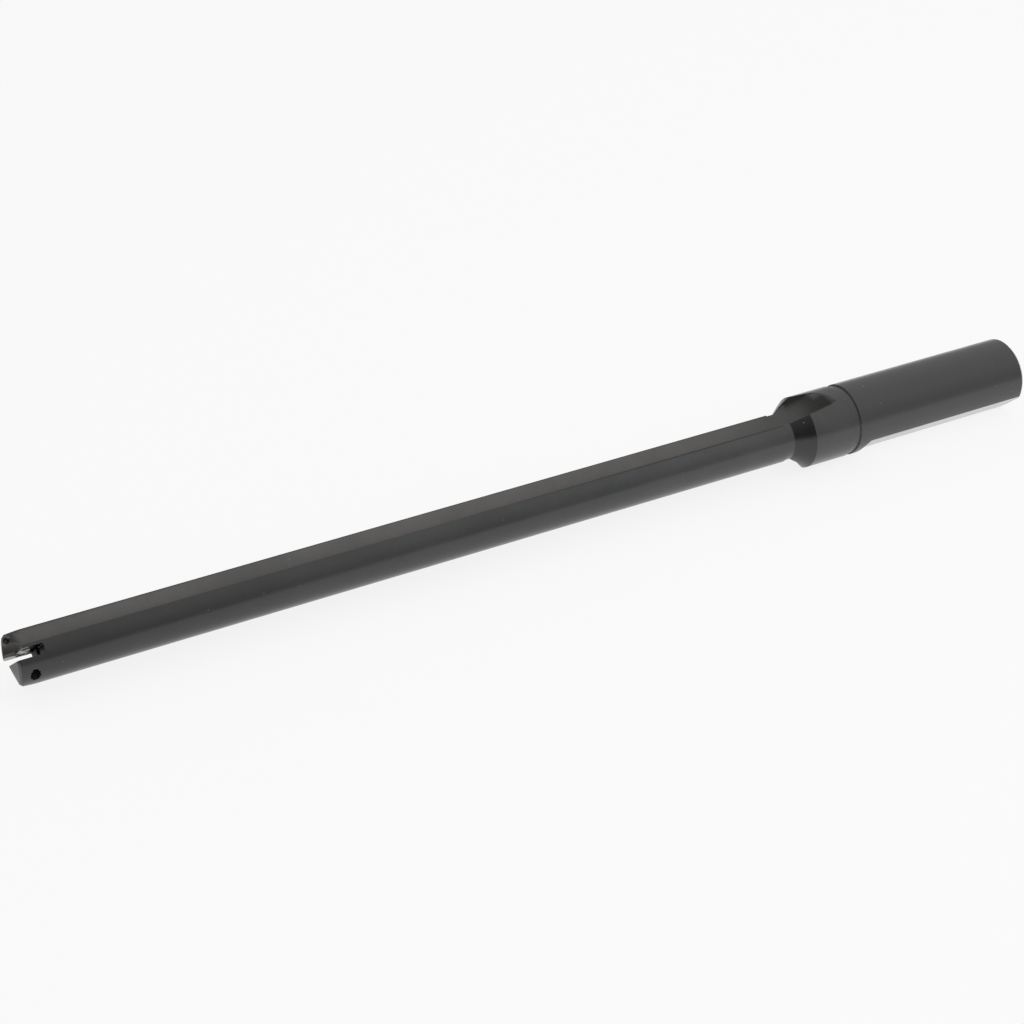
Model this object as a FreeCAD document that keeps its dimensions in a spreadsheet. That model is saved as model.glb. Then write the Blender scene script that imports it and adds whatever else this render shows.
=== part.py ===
import FreeCAD, Part
import math
import os
import re
import Sketcher

# Spade drill holder, one piece of steel: a straight-fluted body with a blade slot at its front end,
# a collar, and a round shank with one clamping flat. Millimetres and degrees.
# The drill's axis is X, the front end points to -X, and the shank starts at X = 0.
# The holder is drawn with its blade plane upright (XZ), and is then rolled about X to how it lies.

sizes = [
    ("body_radius", 8.6, "fluted body"),
    ("body_reach", 308.5, "front end to the start of the shank"),
    ("front_rise", 2.2, "how far the blunt front cone stands out"),
    ("front_corner", 0.7, "chamfer between the front cone and the body"),
    ("neck_radius", 8.25, "relief between body and cone"),
    ("neck_length", 2.8, "relief between body and cone"),
    ("cone_length", 6.2, "cone from the neck up to the collar"),
    ("collar_radius", 12.7, "collar"),
    ("collar_length", 16.25, "collar, from the cone to the groove"),
    ("collar_break", 0.4, "rear edge of the collar"),
    ("groove_depth", 0.55, "grinding relief between collar and shank"),
    ("groove_width", 2.9, "grinding relief between collar and shank"),
    ("shank_radius", 12.7, "shank, 1 in across"),
    ("shank_length", 72.5, "shank"),
    ("shank_chamfer", 1.2, "rear edge of the shank"),
    ("channel_radius", 1.4, "coolant channel along the body"),
    ("mouth_radius", 2.1, "mouth of the channel at the bottom of the blade slot"),
    ("mouth_depth", 2.0, "taper from the mouth to the channel"),
    ("port_radius", 4.35, "coolant port in the rear face"),
    ("port_depth", 22.0, "coolant port, to the start of its drill point"),
    ("port_point", 59.0, "half angle of the drill point"),
    ("port_chamfer", 0.8, "mouth of the coolant port"),
    ("web_half", 2.6, "flute wall that runs along the blade, from the axis"),
    ("flute_floor", 0.0, "flute wall that carries the chips, from the axis"),
    ("flute_width", 7.4, "flute wall that carries the chips"),
    ("flute_corner", 1.2, "inner corner of the flute"),
    ("flute_flank", 35.0, "slope of the flute's far side"),
    ("cutter_radius", 26.5, "cutter that leaves the run-out of the flute"),
    ("cutter_sweep", 68.0, "how far round the run-out goes"),
    ("cutter_lean", 10.0, "lean of the cutter's axis, which draws the run-out away from the blade"),
    ("runout_start", 28.0, "where the run-out begins, ahead of the shank"),
    ("slot_width", 3.2, "blade slot"),
    ("slot_depth", 11.0, "blade slot, from the front end"),
    ("slot_corner", 0.35, "corners at the bottom of the blade slot"),
    ("screw_offset", 5.1, "blade screw, from the axis"),
    ("screw_setback", 6.8, "blade screw, from the front end"),
    ("thread_radius", 1.75, "tapped hole in the thick prong"),
    ("clearance_radius", 1.95, "plain hole in the thin lip"),
    ("outlet_radius", 1.0, "coolant outlet in the flute"),
    ("outlet_offset", 6.5, "coolant outlet, from the blade plane"),
    ("outlet_setback", 3.2, "coolant outlet, from the front end"),
    ("outlet_depth", 3.5, "coolant outlet"),
    ("bevel_length", 7.5, "bevel at the front end of the flute"),
    ("bevel_depth", 2.4, "bevel at the front end of the flute"),
    ("flat_depth", 1.65, "clamping flat on the shank"),
    ("flat_start", 5.0, "clamping flat, from the start of the shank"),
    ("flat_ramp", 3.0, "slope that leads into the clamping flat"),
    ("seam_turn", 22.5, "where the turned surfaces close, clear of every cut"),
    ("blade_roll", 48.3, "how the holder lies, turned about its axis"),
    ("overrun", 3.0, "how far a cutting shape runs past the metal"),
]
names = {name for name, value, note in sizes}

doc = FreeCAD.newDocument("spade_drill")
sheet = doc.addObject("Spreadsheet::Sheet", "Sizes")
for row, (name, value, note) in enumerate(sizes, start=1):
    sheet.set(f"A{row}", name)
    sheet.set(f"B{row}", str(value))
    sheet.set(f"C{row}", note)
    sheet.setAlias(f"B{row}", name)
doc.recompute()


def cell(text):
    # Points each size named in an expression at its cell.
    return re.sub("[a-z_]+", lambda word: f"Sizes.{word[0]}" if word[0] in names else word[0], text)


def number(text):
    return float(sheet.evalExpression(cell(text)))


def vector(point):
    return FreeCAD.Vector(number(point[0]), number(point[1]), 0)


holder = doc.addObject("PartDesign::Body", "drill_holder")
holder.Label = "drill_holder"
origin = {feature.Role: feature for feature in holder.Origin.OriginFeatures}


def sketch_on(plane, label, lift="0"):
    # A sketch on one of the body's own planes, lifted along the plane's normal.
    sketch = holder.newObject("Sketcher::SketchObject", label)
    sketch.AttachmentSupport = [(origin[plane], "")]
    sketch.MapMode = "FlatFace"
    sketch.setExpression("AttachmentOffset.Base.z", cell(lift))
    return sketch


def pin_point(sketch, index, end, point):
    # Holds one end of a line or arc at a place that the sheet gives.
    for direction, text in zip(("DistanceX", "DistanceY"), point):
        held = sketch.addConstraint(Sketcher.Constraint(direction, -1, 1, index, end, number(text)))
        sketch.setExpression(f"Constraints[{held}]", cell(text))


def outline(sketch, points):
    # A closed outline. A point with four values is the end of an arc about the last two.
    for index, point in enumerate(points):
        before = points[index - 1]
        start, finish = vector(before[:2]), vector(point[:2])
        if len(point) == 2:
            sketch.addGeometry(Part.LineSegment(start, finish))
            pin_point(sketch, index, 2, point)
            continue
        centre = vector(point[2:])
        turns_left = ((start - centre).cross(finish - centre)).z > 0
        first, last = (start, finish) if turns_left else (finish, start)
        circle = Part.Circle(centre, FreeCAD.Vector(0, 0, 1), (start - centre).Length)
        angles = [math.atan2(spot.y - centre.y, spot.x - centre.x) for spot in (first, last)]
        sketch.addGeometry(Part.ArcOfCircle(circle, angles[0], angles[1]))
        pin_point(sketch, index, 2 if turns_left else 1, point[:2])
        held = sketch.addConstraint(Sketcher.Constraint("DistanceX", -1, 1, index, 3, centre.x))
        sketch.setExpression(f"Constraints[{held}]", cell(point[2]))
    for index in range(len(points)):
        ends = []
        for piece, wanted in ((index - 1, points[index - 1]), (index, points[index - 1])):
            piece %= len(points)
            spot = vector(wanted[:2])
            near_first = (sketch.getPoint(piece, 1) - spot).Length < (sketch.getPoint(piece, 2) - spot).Length
            ends += [piece, 1 if near_first else 2]
        sketch.addConstraint(Sketcher.Constraint("Coincident", *ends))


def circle_at(sketch, point, radius):
    sketch.addGeometry(Part.Circle(vector(point), FreeCAD.Vector(0, 0, 1), number(radius)))
    pin_point(sketch, 0, 3, point)
    held = sketch.addConstraint(Sketcher.Constraint("Radius", 0, number(radius)))
    sketch.setExpression(f"Constraints[{held}]", cell(radius))


def volume_now():
    doc.recompute()
    return holder.Shape.Volume


def must_cut(feature, before):
    # A cut that points away from the metal removes nothing and shows no error.
    if volume_now() > before - 0.01:
        raise RuntimeError(f"{feature.Label} removes nothing")
    return feature


def pocket(label, sketch, depth=None, both_ways=False, turned=False):
    before = volume_now()
    feature = holder.newObject("PartDesign::Pocket", label)
    feature.Profile = sketch
    feature.Type = "Length" if depth else "ThroughAll"
    if depth:
        feature.setExpression("Length", cell(depth))
    feature.Midplane = both_ways
    feature.Reversed = turned
    return must_cut(feature, before)


def profile_on_axis(label):
    # Half a section. Its plane is turned about the axis, so that no cut runs along the closing edge.
    profile = sketch_on("XZ_Plane", label)
    profile.AttachmentOffset = FreeCAD.Placement(FreeCAD.Vector(), FreeCAD.Rotation(FreeCAD.Vector(1, 0, 0), 1))
    profile.setExpression("AttachmentOffset.Rotation.Angle", cell("seam_turn"))
    return profile


def turned_blank():
    profile = profile_on_axis("turned_profile")
    collar_back = "-groove_width"
    collar_front = "-groove_width - collar_length"
    cone_front = "-groove_width - collar_length - cone_length"
    body_end = "-groove_width - collar_length - cone_length - neck_length"
    outline(profile, [
        ("-body_reach", "0"),
        ("-body_reach + front_rise * (1 - front_corner / body_radius)", "body_radius - front_corner"),
        ("-body_reach + front_rise + front_corner", "body_radius"),
        (body_end, "body_radius"),
        (body_end, "neck_radius"),
        (cone_front, "neck_radius"),
        (collar_front, "collar_radius"),
        (collar_back + " - collar_break", "collar_radius"),
        (collar_back, "collar_radius - collar_break"),
        (collar_back, "shank_radius - groove_depth"),
        ("0", "shank_radius - groove_depth"),
        ("0", "shank_radius"),
        ("shank_length - shank_chamfer", "shank_radius"),
        ("shank_length", "shank_radius - shank_chamfer"),
        ("shank_length", "0"),
    ])
    blank = holder.newObject("PartDesign::Revolution", "turned_blank")
    blank.Profile = profile
    blank.ReferenceAxis = (profile, ["H_Axis"])
    blank.Angle = 360
    doc.recompute()


def coolant_bore():
    profile = profile_on_axis("coolant_profile")
    slot_bottom = "-body_reach + slot_depth - mouth_radius"
    point_start = "shank_length - port_depth - (port_radius - channel_radius) / tan(port_point)"
    outline(profile, [
        (slot_bottom, "0"),
        (slot_bottom, "mouth_radius"),
        ("-body_reach + slot_depth", "mouth_radius"),
        ("-body_reach + slot_depth + mouth_depth", "channel_radius"),
        (point_start, "channel_radius"),
        ("shank_length - port_depth", "port_radius"),
        ("shank_length - port_chamfer", "port_radius"),
        ("shank_length + overrun", "port_radius + port_chamfer + overrun"),
        ("shank_length + overrun", "0"),
    ])
    before = volume_now()
    bore = holder.newObject("PartDesign::Groove", "coolant_bore")
    bore.Profile = profile
    bore.ReferenceAxis = (profile, ["H_Axis"])
    bore.Angle = 360
    must_cut(bore, before)


def flute_outline(sketch):
    # Across the flute: the wall along the blade, the inner corner, the chip wall and the far flank.
    top = "collar_radius + overrun"
    outline(sketch, [
        ("web_half", top),
        ("web_half", "flute_floor + flute_corner"),
        ("web_half + flute_corner", "flute_floor", "web_half + flute_corner", "flute_floor + flute_corner"),
        ("web_half + flute_width", "flute_floor"),
        (f"web_half + flute_width + ({top} - flute_floor) * tan(flute_flank)", top),
    ])


def straight_flute():
    section = sketch_on("YZ_Plane", "flute_section", "-runout_start")
    flute_outline(section)
    return pocket("flute", section, depth="body_reach - runout_start + overrun")


def flute_runout():
    section = sketch_on("YZ_Plane", "runout_section", "-runout_start")
    flute_outline(section)
    centre_height = "flute_floor + cutter_radius"
    ends = [("0", centre_height), ("body_radius", f"{centre_height} - body_radius * tan(cutter_lean)")]
    line = section.addGeometry(Part.LineSegment(vector(ends[0]), vector(ends[1])), True)
    pin_point(section, line, 1, ends[0])
    pin_point(section, line, 2, ends[1])
    before = volume_now()
    runout = holder.newObject("PartDesign::Groove", "flute_runout")
    runout.Profile = section
    runout.ReferenceAxis = (section, ["Axis0"])
    runout.setExpression("Angle", cell("cutter_sweep"))
    doc.recompute()
    reach = holder.Shape.Volume
    runout.Reversed = True
    doc.recompute()
    if reach < holder.Shape.Volume:
        runout.Reversed = False
    return must_cut(runout, before)


def screw_holes():
    spot = ("-body_reach + screw_setback", "screw_offset")
    tapped = sketch_on("XZ_Plane", "tapped_circle")
    circle_at(tapped, spot, "thread_radius")
    plain = sketch_on("XZ_Plane", "clearance_circle")
    circle_at(plain, spot, "clearance_radius")
    return [pocket("tapped_hole", tapped, turned=True),
            pocket("clearance_hole", plain, depth="web_half + overrun")]


def coolant_outlet():
    mouth = sketch_on("XY_Plane", "outlet_circle", "flute_floor + overrun")
    circle_at(mouth, ("-body_reach + outlet_setback", "outlet_offset"), "outlet_radius")
    return pocket("coolant_outlet", mouth, depth="outlet_depth + overrun")


def front_bevel():
    side = sketch_on("XZ_Plane", "bevel_side", "-web_half")
    outline(side, [
        ("-body_reach + bevel_length", "flute_floor"),
        ("-body_reach + bevel_length", "flute_floor + overrun"),
        ("-body_reach - overrun", "flute_floor + overrun"),
        ("-body_reach - overrun", "flute_floor - bevel_depth * (bevel_length + overrun) / bevel_length"),
    ])
    return pocket("front_bevel", side)


def blade_slot():
    plan = sketch_on("XY_Plane", "slot_plan")
    front, bottom, half = "-body_reach - overrun", "-body_reach + slot_depth", "slot_width / 2"
    outline(plan, [
        (front, f"-{half}"),
        (f"{bottom} - slot_corner", f"-{half}"),
        (bottom, f"-{half} + slot_corner", f"{bottom} - slot_corner", f"-{half} + slot_corner"),
        (bottom, f"{half} - slot_corner"),
        (f"{bottom} - slot_corner", half, f"{bottom} - slot_corner", f"{half} - slot_corner"),
        (front, half),
    ])
    return pocket("blade_slot", plan, both_ways=True)


def clamping_flat():
    plan = sketch_on("XY_Plane", "flat_plan")
    outline(plan, [
        ("flat_start - flat_ramp", "-shank_radius"),
        ("flat_start", "-shank_radius + flat_depth"),
        ("shank_length + overrun", "-shank_radius + flat_depth"),
        ("shank_length + overrun", "-shank_radius - overrun"),
        ("flat_start - flat_ramp", "-shank_radius - overrun"),
    ])
    return pocket("clamping_flat", plan, both_ways=True)


turned_blank()
coolant_bore()
cuts = [straight_flute(), flute_runout(), *screw_holes(), coolant_outlet(), front_bevel()]

# Both sides of the holder are alike, half a turn apart.
before_pair = volume_now()
pair = holder.newObject("PartDesign::PolarPattern", "second_side")
pair.Originals = cuts
pair.Axis = (origin["X_Axis"], [""])
pair.Angle = 360
pair.Occurrences = 2
holder.Tip = pair
must_cut(pair, before_pair)

blade_slot()
clamping_flat()

holder.Placement = FreeCAD.Placement(FreeCAD.Vector(), FreeCAD.Rotation(FreeCAD.Vector(1, 0, 0), 1))
holder.setExpression("Placement.Rotation.Angle", cell("blade_roll"))
doc.recompute()

for item in doc.Objects:
    if "Invalid" in item.State or "Error" in item.State:
        raise RuntimeError(f"{item.Label} did not build")
if holder.Shape.isNull() or not holder.Shape.isValid() or len(holder.Shape.Solids) != 1:
    raise RuntimeError("the holder is not one sound solid")

os.makedirs("parts", exist_ok=True)
holder.Shape.exportStep(f"parts/{holder.Label}.step")
print(f"{holder.Label}: {holder.Shape.Volume:.1f} cubic mm")
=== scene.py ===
import math

import bmesh
import bpy
from mathutils import Matrix, Vector


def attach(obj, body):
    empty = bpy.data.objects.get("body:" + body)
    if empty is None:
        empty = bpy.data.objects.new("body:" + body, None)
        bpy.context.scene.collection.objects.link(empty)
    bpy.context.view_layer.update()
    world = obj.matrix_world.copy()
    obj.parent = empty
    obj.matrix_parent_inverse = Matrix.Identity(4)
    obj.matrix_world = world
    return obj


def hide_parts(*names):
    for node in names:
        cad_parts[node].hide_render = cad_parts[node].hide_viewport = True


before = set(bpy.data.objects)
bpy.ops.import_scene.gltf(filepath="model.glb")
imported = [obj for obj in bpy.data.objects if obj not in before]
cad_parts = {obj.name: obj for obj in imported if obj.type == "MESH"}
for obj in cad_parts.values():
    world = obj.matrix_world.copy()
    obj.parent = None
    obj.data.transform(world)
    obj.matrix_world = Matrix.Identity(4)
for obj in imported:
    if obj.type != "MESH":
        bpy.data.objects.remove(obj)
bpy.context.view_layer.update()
print("frame loaded")

holder = {
    "node": "drill_holder",
    "slot": "black_steel",
    "roll": math.radians(48.3),     # blade plane, turned about the drill's axis
    "tipX": -0.3085,
    "bodyRadius": 0.0086,
    "neckRadius": 0.00825,
    "neckX": -0.02815,              # where the relief in front of the cone begins
    "coneX": -0.02535,
    "collarX": -0.01915,
    "collarRadius": 0.0127,
    "tapX": -0.3017,
    "tapUp": 0.0051,                # the tapped holes' distance from the axis, in the blade plane
}


def rolled(x, across, up):
    # A place given along the axis, away from the blade plane, and along the blade plane.
    cos, sin = math.cos(holder["roll"]), math.sin(holder["roll"])
    return Vector((x, across * cos - up * sin, across * sin + up * cos))


class Wire:
    # A socket that can be used in sums.
    def __init__(self, maker, socket):
        self.maker, self.socket = maker, socket

    def join(self, operation, first, second):
        return self.maker.node("ShaderNodeMath", {"operation": operation}, {0: first, 1: second})

    def __add__(self, other):
        return self.join("ADD", self, other)

    def __radd__(self, other):
        return self.join("ADD", other, self)

    def __sub__(self, other):
        return self.join("SUBTRACT", self, other)

    def __rsub__(self, other):
        return self.join("SUBTRACT", other, self)

    def __mul__(self, other):
        return self.join("MULTIPLY", self, other)

    def __rmul__(self, other):
        return self.join("MULTIPLY", other, self)

    def __pow__(self, other):
        return self.join("POWER", self, other)

    def above(self, edge):
        return self.join("GREATER_THAN", self, edge)

    def between(self, low, high):
        return self.above(low) * (1 - self.above(high))

    def size(self):
        return self.maker.node("ShaderNodeMath", {"operation": "ABSOLUTE"}, {0: self})


class Finish:
    # A node tree under construction: a material's, or the world's.
    def __init__(self, tree):
        self.tree = tree
        tree.nodes.clear()

    def node(self, kind, settings=None, inputs=None, out=0):
        made = self.tree.nodes.new(kind)
        for name, value in (settings or {}).items():
            setattr(made, name, value)
        for name, value in (inputs or {}).items():
            if isinstance(value, Wire):
                self.tree.links.new(value.socket, made.inputs[name])
            else:
                made.inputs[name].default_value = value
        return Wire(self, made.outputs[out]) if len(made.outputs) else None

    def outputs(self, wire, *names):
        # Several outputs of the node that a wire comes from.
        return [Wire(self, wire.socket.node.outputs[name]) for name in names]

    def smooth(self, wire, low, high):
        return self.node("ShaderNodeMapRange", {"interpolation_type": "SMOOTHSTEP"},
                         {0: wire, 1: low, 2: high, 3: 0.0, 4: 1.0})

    def blend(self, share, first, second):
        return self.node("ShaderNodeMix", {"data_type": "RGBA"}, {0: share, 6: first, 7: second}, out=2)


oxide = {
    "dark": (0.0048, 0.0051, 0.0064, 1),
    "worn": (0.0105, 0.0106, 0.0116, 1),
    # painted light: the body is painted lighter towards the collar, standing in for how light falls there
    "paintedLightNearCollar": (0.0500, 0.0510, 0.0540, 1),
    "milled": (0.1150, 0.1110, 0.1030, 1),
    "milledCollar": (0.0750, 0.0735, 0.0690, 1),
    "milledMetal": 0.15,
    "shank": (0.0350, 0.0354, 0.0370, 1),
    "flat": (0.50, 0.50, 0.51, 1),      # the shank's flat was ground after blackening
    "flatMetal": 0.7,
    "deep": (0.004, 0.004, 0.0045, 1),  # painted shade inside tapped holes and at the slot's root
    "deepHole": 0.85,
    "deepRoot": 0.8,
    "edge": (0.05, 0.049, 0.047, 1),
    "edgeWidth": 0.00022,
    "roughness": 0.23,
    "ior": 1.65,
    "bump": 0.000012,
    "blotchScale": 55.0,        # patches per metre
    "hazeScale": 14.0,
    "grindScale": 2600.0,       # fine rings left by grinding
    "millScale": 900.0,         # fine lines left along the flutes
    "millStretch": (0.04, 1.0, 1.0),
    "grainScale": 5200.0,
    "speck": (0.5, 0.5, 0.48, 1),
    "speckScale": 420.0,
    "speckShare": 0.84,         # share of the cells that stay clean
    "speckSize": (0.03, 0.05),  # smallest radius in cells, and how much it varies
}

# Where each finish begins and ends, in metres: along is on the axis, the rest is measured from it.
zones = {
    "milledInset": (0.00012, 0.00035),  # how far inside the turned shape milling shows
    "milledEnd": -0.003,
    "skin": 0.00005,                    # what lies deeper than this is inside the body
    # where the painted light on the body rises towards the collar
    "paintedLightAlong": (-0.3385, -0.02),
    "fluteToCollar": (-0.07, -0.02),
    "cone": (-0.0255, -0.0191),
    "crestNear": (0.0019, 0.0022),      # a line of painted shade on the body beside each flute
    "crestFar": (0.00245, 0.0026),
    "crestAlong": (-0.17, -0.07),
    "crestEnd": -0.0282,
    "shank": (-0.004, -0.0005),
    "flatInset": (0.00005, 0.0002),
    "flatAlong": (0.002, 0.0715),
    "flatLowest": 0.0105,
    "holeReach": 0.00178,
    "holeStart": 0.00175,
    "rootFade": (-0.3012, -0.2992),
    "rootEnd": -0.2962,
    "rootWall": 0.00168,
}


def blackOxide():
    material = bpy.data.materials.new("blackOxideSteel")
    material.use_nodes = True
    make = Finish(material.node_tree)
    place = make.node("ShaderNodeTexCoord", out="Object")
    along, sideways, upward = make.outputs(make.node("ShaderNodeSeparateXYZ", inputs={0: place}), "X", "Y", "Z")
    radius = (sideways * sideways + upward * upward) ** 0.5
    cos, sin = math.cos(holder["roll"]), math.sin(holder["roll"])
    across = sideways * cos + upward * sin
    up = upward * cos - sideways * sin
    inside = (holder["bodyRadius"] - zones["skin"] - radius).above(0.0)

    # Ground rings on what was turned, long lines on what was milled.
    turnedShape = make.node("ShaderNodeMapRange", inputs={
        0: along, 1: holder["coneX"], 2: holder["collarX"], 3: holder["neckRadius"], 4: holder["collarRadius"],
    }) + (1 - along.above(holder["neckX"])) * (holder["bodyRadius"] - holder["neckRadius"])
    milled = make.smooth(turnedShape - radius, *zones["milledInset"]) * (1 - along.above(zones["milledEnd"]))
    rings = make.node("ShaderNodeTexNoise", {"noise_dimensions": "1D"},
                      {"W": along * oxide["grindScale"], "Detail": 3.0, "Roughness": 0.6})
    stretched = make.node("ShaderNodeMapping", inputs={"Vector": place, "Scale": oxide["millStretch"]})
    lines = make.node("ShaderNodeTexNoise", inputs={
        "Vector": stretched, "Scale": oxide["millScale"], "Detail": 3.0,
    })
    grain = make.node("ShaderNodeTexNoise", inputs={
        "Vector": place, "Scale": oxide["grainScale"], "Detail": 2.0,
    })
    marks = rings * (1 - milled) + lines * milled

    # The oxide is uneven: slow patches, with handling haze on top.
    patches = make.node("ShaderNodeTexNoise", inputs={
        "Vector": place, "Scale": oxide["blotchScale"], "Detail": 5.0, "Roughness": 0.62,
    })
    haze = make.node("ShaderNodeTexNoise", inputs={
        "Vector": place, "Scale": oxide["hazeScale"], "Detail": 2.0, "Distortion": 0.6,
    })
    wear = make.smooth(patches * 0.65 + haze * 0.35, 0.38, 0.66)
    colour = make.blend(wear, oxide["dark"], oxide["worn"])
    # Painted light: the body is painted lighter towards the collar, standing in for how light falls there.
    toCollar = make.smooth(along, *zones["paintedLightAlong"])
    colour = make.blend(toCollar * (0.65 + wear * 0.35), colour, oxide["paintedLightNearCollar"])
    flute = make.blend(make.smooth(along, *zones["fluteToCollar"]), oxide["milled"], oxide["milledCollar"])
    colour = make.blend(milled * (0.7 + wear * 0.3), colour, flute)

    # The cone keeps the plain dark oxide; a thin line beside each flute is painted shade, where the flute's
    # edge looks dark.
    cone = along.between(*zones["cone"]) * (1 - milled)
    colour = make.blend(cone, colour, oxide["dark"])
    paintedEdgeShade = (make.smooth(across.size(), *zones["crestNear"])
             * (1 - make.smooth(across.size(), *zones["crestFar"]))
             * (across * up).above(0.0) * (1 - inside)
             * make.smooth(along, *zones["crestAlong"]) * (1 - along.above(zones["crestEnd"])))
    colour = make.blend(paintedEdgeShade, colour, oxide["dark"])

    onShank = make.smooth(along, *zones["shank"])
    colour = make.blend(onShank * (0.5 + wear * 0.5), colour, oxide["shank"])
    flat = (make.smooth(holder["collarRadius"] - radius, *zones["flatInset"])
            * radius.above(zones["flatLowest"]) * along.between(*zones["flatAlong"]))
    colour = make.blend(flat, colour, oxide["flat"])

    # Little light gets into the tapped holes and the slot's root, so painted shade darkens them.
    fromTap = ((along - holder["tapX"]) ** 2 + (up.size() - holder["tapUp"]) ** 2) ** 0.5
    hole = (zones["holeReach"] - fromTap).above(0.0) * inside * across.size().above(zones["holeStart"])
    root = (make.smooth(along, *zones["rootFade"]) * (1 - along.above(zones["rootEnd"]))
            * (zones["rootWall"] - across.size()).above(0.0) * inside)
    deep = hole * oxide["deepHole"] + root * (1 - hole) * oxide["deepRoot"]

    # Corners wear first.
    face = make.node("ShaderNodeNewGeometry", out="Normal")
    rounded = make.node("ShaderNodeBevel", {"samples": 8}, {"Radius": oxide["edgeWidth"]})
    turned = make.node("ShaderNodeVectorMath", {"operation": "DOT_PRODUCT"}, {0: face, 1: rounded}, out="Value")
    corner = make.smooth(1 - turned, 0.015, 0.12) * make.smooth(patches, 0.34, 0.6)
    colour = make.blend(corner * 0.7, colour, oxide["edge"])

    # A few specks of dust.
    reach = make.node("ShaderNodeTexVoronoi", inputs={"Vector": place, "Scale": oxide["speckScale"]})
    cell = make.outputs(reach, "Color")[0]
    chance, size = make.outputs(make.node("ShaderNodeSeparateColor", inputs={0: cell}), "Red", "Green")
    least, spread = oxide["speckSize"]
    speck = chance.above(oxide["speckShare"]) * (least + size * spread - reach).above(0.0)
    colour = make.blend(speck * 0.6, colour, oxide["speck"])

    roughness = (oxide["roughness"] + wear * 0.05 + milled * 0.05 + (marks - 0.5) * 0.1 + (grain - 0.5) * 0.05
                 + corner * 0.08 + speck * 0.4)
    relief = marks * 0.6 + grain * 0.4 + speck * 2.0
    bumped = make.node("ShaderNodeBump", inputs={
        "Strength": 1.0, "Distance": oxide["bump"], "Height": relief, "Normal": rounded,
    })
    steelFace = make.node("ShaderNodeBsdfPrincipled", inputs={
        "Base Color": colour, "Roughness": roughness, "Normal": bumped, "IOR": oxide["ior"],
        "Metallic": milled * oxide["milledMetal"] + flat * oxide["flatMetal"],
    })
    # Painted shade: a near-black matt finish mixed in where little light gets in.
    paintedShade = make.node("ShaderNodeBsdfDiffuse", inputs={"Color": oxide["deep"]})
    surface = make.node("ShaderNodeMixShader", inputs={0: deep, 1: steelFace, 2: paintedShade})
    make.node("ShaderNodeOutputMaterial", inputs={"Surface": surface})
    return material


steel = blackOxide()
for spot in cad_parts[holder["node"]].material_slots:
    spot.material = steel
print("black oxide ready")

lips = {
    "setback": 0.0045,          # the thin lips beside the blade stand back from the tip
    "bevelLength": 0.0075,      # the bevel at each flute's front end
    "bevelDepth": 0.0024,
    "lift": 0.00001,            # keeps the cut off the bevel's own face
    "outerFace": 0.002626,      # just past the lip, measured from the blade plane
    "margin": 0.003,            # how far the cutting shape reaches past the body
}


def addPiece(name, mesh):
    piece = bpy.data.objects.new(name, mesh)
    bpy.context.scene.collection.objects.link(piece)
    return piece


def lipCutter(side):
    # The space in front of one thin lip, down to the flute's front bevel. side is 1 or -1.
    back, front = holder["tipX"] + lips["setback"], holder["tipX"] - lips["margin"]
    bevelEnd = holder["tipX"] + lips["bevelLength"]
    slope = lips["bevelDepth"] / lips["bevelLength"]
    top = holder["bodyRadius"] + lips["margin"]
    outline = [(x, lips["lift"] - slope * (bevelEnd - x)) for x in (back, front)] + [(front, top), (back, top)]
    corners = [rolled(x, side * across, side * up) for across in (0.0, lips["outerFace"]) for x, up in outline]
    sides = [(i, (i + 1) % 4, (i + 1) % 4 + 4, i + 4) for i in range(4)]
    mesh = bpy.data.meshes.new("lipCutter")
    mesh.from_pydata(corners, [], [(3, 2, 1, 0), (4, 5, 6, 7)] + sides)
    shell = bmesh.new()
    shell.from_mesh(mesh)
    bmesh.ops.recalc_face_normals(shell, faces=shell.faces)
    shell.to_mesh(mesh)
    shell.free()
    return addPiece("lipCutter", mesh)


rounding = {
    "sharpAngle": math.radians(30),
    "sideways": 0.12,           # a turned facet leans sideways less than this
    "endOn": 0.98,              # faces that look along the axis are flat
    "outwards": 0.2,            # and turned facets look away from the axis, or towards it
}


def trueNormals(mesh):
    # Turned faces get the round surface's own normals, so reflections run straight along the holder.
    for face in mesh.polygons:
        face.use_smooth = True
    mesh.set_sharp_from_angle(angle=rounding["sharpAngle"])
    normals = [corner.vector.copy() for corner in mesh.corner_normals]
    for face in mesh.polygons:
        outward = Vector((0, face.center.y, face.center.z)).normalized()
        sideways = Vector((1, 0, 0)).cross(outward)
        if abs(face.normal.dot(sideways)) > rounding["sideways"] or abs(face.normal.x) > rounding["endOn"]:
            continue
        if abs(face.normal.dot(outward)) < rounding["outwards"]:
            continue
        sign = 1 if face.normal.dot(outward) > 0 else -1
        spread = math.sqrt(max(0.0, 1 - face.normal.x ** 2))
        for loop in face.loop_indices:
            spot = mesh.vertices[mesh.loops[loop].vertex_index].co
            around = Vector((0, spot.y, spot.z)).normalized()
            normals[loop] = Vector((face.normal.x, 0, 0)) + around * spread * sign
    mesh.normals_split_custom_set(normals)


def baked(piece):
    # The mesh that a piece's modifiers make, with the modifiers then taken off.
    bpy.context.view_layer.update()
    made = bpy.data.meshes.new_from_object(piece.evaluated_get(bpy.context.evaluated_depsgraph_get()))
    piece.modifiers.clear()
    return made


def cutWith(piece, operation, tool):
    cut = piece.modifiers.new("cut", "BOOLEAN")
    cut.operation, cut.solver, cut.object = operation, "EXACT", tool


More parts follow.
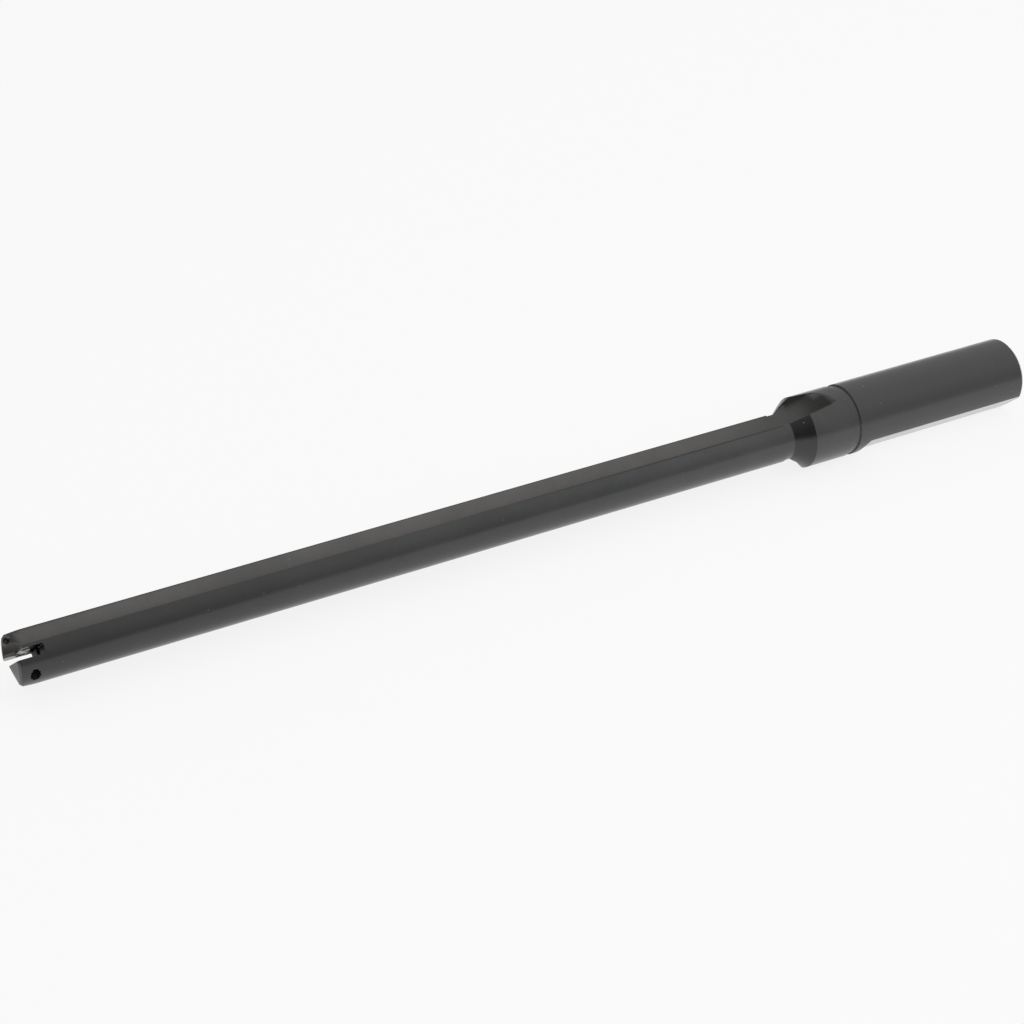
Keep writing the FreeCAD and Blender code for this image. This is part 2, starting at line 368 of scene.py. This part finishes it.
def dressHolder():
    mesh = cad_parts[holder["node"]].data.copy()
    shell = bmesh.new()
    shell.from_mesh(mesh)
    bmesh.ops.remove_doubles(shell, verts=shell.verts, dist=1e-7)
    shell.to_mesh(mesh)
    shell.free()
    piece = addPiece("holderBody", mesh)
    cutters = [lipCutter(side) for side in (1, -1)]
    for cutter in cutters:
        cutWith(piece, "DIFFERENCE", cutter)
    piece.data = made = baked(piece)
    for cutter in cutters:
        bpy.data.objects.remove(cutter)
    made.materials.clear()
    made.materials.append(steel)
    trueNormals(made)
    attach(piece, "root")
    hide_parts(holder["node"])
    print("holder body", len(made.polygons), "faces")


dressHolder()

tap = {
    "radius": 0.00175,
    "ridge": 0.00028,
    "pitch": 0.00066,
    "turns": 9.0,
    "inside": 0.00856,          # the ridge stays within this distance of the holder's axis
    "floor": 0.0020,            # and starts this far from the blade plane
}
threads = [
    {"name": "frontTap", "start": rolled(holder["tapX"], -tap["floor"], holder["tapUp"]),
     "out": rolled(0, -1, 0), **tap},
    {"name": "rearTap", "start": rolled(holder["tapX"], tap["floor"], -holder["tapUp"]),
     "out": rolled(0, 1, 0), **tap},
    {"name": "portThread", "start": Vector((0.0545, 0, 0)), "out": Vector((1, 0, 0)),
     "radius": 0.00435, "ridge": 0.00048, "pitch": 0.00094, "turns": 17.0},
]


def threadTree():
    # A ridge wound round a hole's wall: a spiral with a pointed section.
    tree = bpy.data.node_groups.new("threadRidge", "GeometryNodeTree")
    sides = tree.interface
    sizes = {"wallRadius": 0.002, "ridgeHeight": 0.0003, "pitch": 0.0007, "turns": 5.0}
    for name, value in sizes.items():
        socket = sides.new_socket(name, in_out="INPUT", socket_type="NodeSocketFloat")
        socket.default_value = value
    sides.new_socket("finish", in_out="INPUT", socket_type="NodeSocketMaterial")
    sides.new_socket("ridge", in_out="OUTPUT", socket_type="NodeSocketGeometry")
    nodes, links = tree.nodes, tree.links

    def feed(socket, value):
        if isinstance(value, bpy.types.NodeSocket):
            links.new(value, socket)
        else:
            socket.default_value = value

    def add(kind, settings=None, **wires):
        made = nodes.new(kind)
        for name, value in (settings or {}).items():
            setattr(made, name, value)
        for name, value in wires.items():
            feed(made.inputs[name.replace("_", " ")], value)
        return made

    def times(first, second):
        made = add("ShaderNodeMath", {"operation": "MULTIPLY"})
        feed(made.inputs[0], first)
        feed(made.inputs[1], second)
        return made.outputs[0]

    given = nodes.new("NodeGroupInput").outputs
    path = add("GeometryNodeCurveSpiral", Resolution=36, Rotations=given["turns"],
               Start_Radius=given["wallRadius"], End_Radius=given["wallRadius"],
               Height=times(given["pitch"], given["turns"]))
    upright = add("GeometryNodeSetCurveNormal", {"mode": "Z_UP"}, Curve=path.outputs[0])
    halfTall = times(given["pitch"], 0.44)
    section = add("GeometryNodeCurvePrimitiveQuadrilateral", {"mode": "KITE"},
                  Width=times(given["ridgeHeight"], 2.0), Bottom_Height=halfTall, Top_Height=halfTall)
    wound = add("GeometryNodeCurveToMesh", Curve=upright.outputs[0], Profile_Curve=section.outputs[0],
                Fill_Caps=True)
    real = add("GeometryNodeRealizeInstances", Geometry=wound.outputs[0])
    dressed = add("GeometryNodeSetMaterial", Geometry=real.outputs[0], Material=given["finish"])
    links.new(dressed.outputs[0], nodes.new("NodeGroupOutput").inputs[0])
    return tree


def roundBar(x, radius, length):
    shell = bmesh.new()
    bmesh.ops.create_cone(shell, cap_ends=True, segments=128, radius1=radius, radius2=radius, depth=length,
                          matrix=Matrix.Translation((x, 0, 0)) @ Matrix.Rotation(math.radians(90), 4, "Y"))
    mesh = bpy.data.meshes.new("roundBar")
    shell.to_mesh(mesh)
    shell.free()
    return addPiece("roundBar", mesh)


def windThread(tree, facts):
    piece = addPiece(facts["name"], bpy.data.meshes.new(facts["name"]))
    modifier = piece.modifiers.new("ridge", "NODES")
    modifier.node_group = tree
    given = {"wallRadius": facts["radius"], "ridgeHeight": facts["ridge"], "pitch": facts["pitch"],
             "turns": facts["turns"], "finish": steel}
    for item in tree.interface.items_tree:
        if item.in_out == "INPUT":
            modifier[item.identifier] = given[item.name]
    made = baked(piece)
    facing = facts["out"].to_track_quat("Z", "Y").to_matrix().to_4x4()
    made.transform(Matrix.Translation(facts["start"]) @ facing)
    piece.data = made
    if "inside" in facts:
        # The ridge stops where the hole runs out through the round body.
        bar = roundBar(facts["start"].x, facts["inside"], 0.02)
        cutWith(piece, "INTERSECT", bar)
        piece.data = baked(piece)
        bpy.data.objects.remove(bar)
    return piece


tree = threadTree()
for facts in threads:
    piece = windThread(tree, facts)
    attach(piece, "root")
    print(facts["name"], len(piece.data.polygons), "faces")

studio = {
    "floorZ": -0.0127,
    "floorHalf": 3.0,
    "floorColour": (0.85, 0.85, 0.85, 1),
    "floorFar": 0.62,               # how bright the floor's far part looks in reflections
    "floorFarSpan": (0.25, 1.4),
    "shadow": 0.16,
    "worldLeft": 0.08,              # brightness by direction: dark to the left, even in front, bright overhead
    "worldFront": 0.53,
    "worldTop": 0.25,
    "worldFrontSpan": (-0.75, -0.2),
    "worldTopSpan": (0.15, 0.95),
    "lamp": 3.0,
    "lampSize": 0.9,
    "lampPlace": (0.55, -0.75, 0.95),
    "lampAim": (-0.05, 0.0, 0.0),
}
white = (1, 1, 1, 1)


def paleFloor():
    half, level = studio["floorHalf"], studio["floorZ"]
    mesh = bpy.data.meshes.new("floor")
    mesh.from_pydata([(-half, -half, level), (half, -half, level), (half, half, level), (-half, half, level)],
                     [], [(0, 1, 2, 3)])
    floor = addPiece("floor", mesh)
    material = bpy.data.materials.new("paleFloor")
    material.use_nodes = True
    make = Finish(material.node_tree)
    inView, mirrored, through = make.outputs(make.node("ShaderNodeLightPath"),
                                             "Is Camera Ray", "Is Glossy Ray", "Is Transmission Ray")
    place = make.node("ShaderNodeTexCoord", out="Object")
    away = make.node("ShaderNodeVectorMath", {"operation": "LENGTH"}, {0: place}, out="Value")
    far = make.smooth(away, *studio["floorFarSpan"]) * mirrored
    matt = make.node("ShaderNodeBsdfDiffuse", inputs={"Color": studio["floorColour"]})
    shaded = make.node("ShaderNodeBsdfDiffuse", inputs={"Color": white})
    glow = make.node("ShaderNodeEmission", inputs={"Color": white, "Strength": 1.0})
    dimmer = make.node("ShaderNodeEmission", inputs={"Color": white, "Strength": studio["floorFar"]})
    lit = make.node("ShaderNodeMixShader", inputs={0: far, 1: glow, 2: dimmer})
    bright = make.node("ShaderNodeMixShader", inputs={0: (1 - mirrored) * studio["shadow"], 1: lit, 2: shaded})
    surface = make.node("ShaderNodeMixShader", inputs={0: inView + mirrored + through, 1: matt, 2: bright})
    make.node("ShaderNodeOutputMaterial", inputs={"Surface": surface})
    mesh.materials.append(material)


def paleWorld():
    world = bpy.data.worlds.new("studio")
    bpy.context.scene.world = world
    world.use_nodes = True
    make = Finish(world.node_tree)
    direction = make.node("ShaderNodeTexCoord", out="Generated")
    sideways, height = make.outputs(make.node("ShaderNodeSeparateXYZ", inputs={0: direction}), "X", "Z")
    rise = studio["worldFront"] - studio["worldLeft"]
    strength = (studio["worldLeft"] + make.smooth(sideways, *studio["worldFrontSpan"]) * rise
                + make.smooth(height, *studio["worldTopSpan"]) * studio["worldTop"])
    inView = make.node("ShaderNodeLightPath", out="Is Camera Ray")
    light = make.node("ShaderNodeBackground", inputs={0: white, 1: strength})
    backdrop = make.node("ShaderNodeBackground", inputs={0: white, 1: 1.0})
    surface = make.node("ShaderNodeMixShader", inputs={0: inView, 1: light, 2: backdrop})
    make.node("ShaderNodeOutputWorld", inputs={"Surface": surface})


def softLamp():
    data = bpy.data.lights.new("softLamp", "AREA")
    data.shape, data.size, data.energy = "DISK", studio["lampSize"], studio["lamp"]
    lamp = addPiece("softLamp", data)
    lamp.location = studio["lampPlace"]
    lamp.visible_glossy = False
    lamp.rotation_euler = (Vector(studio["lampAim"]) - lamp.location).to_track_quat("-Z", "Y").to_euler()


paleFloor()
paleWorld()
softLamp()
print("studio ready")

view = {
    "place": (-0.4857, -0.6147, 0.4184),
    "right": (0.86753, -0.49738, 0.0),
    "up": (0.25236, 0.44017, 0.86171),
    "lens": 87.89,
    "sensor": 36.0,
}

camera = addPiece("camera", bpy.data.cameras.new("camera"))
camera.data.lens, camera.data.sensor_width = view["lens"], view["sensor"]
right, up = Vector(view["right"]).normalized(), Vector(view["up"]).normalized()
back = right.cross(up).normalized()
camera.matrix_world = Matrix.Translation(view["place"]) @ Matrix((right, up, back)).transposed().to_4x4()
bpy.context.scene.camera = camera
bpy.context.scene.view_settings.view_transform = "Standard"
print("camera set")
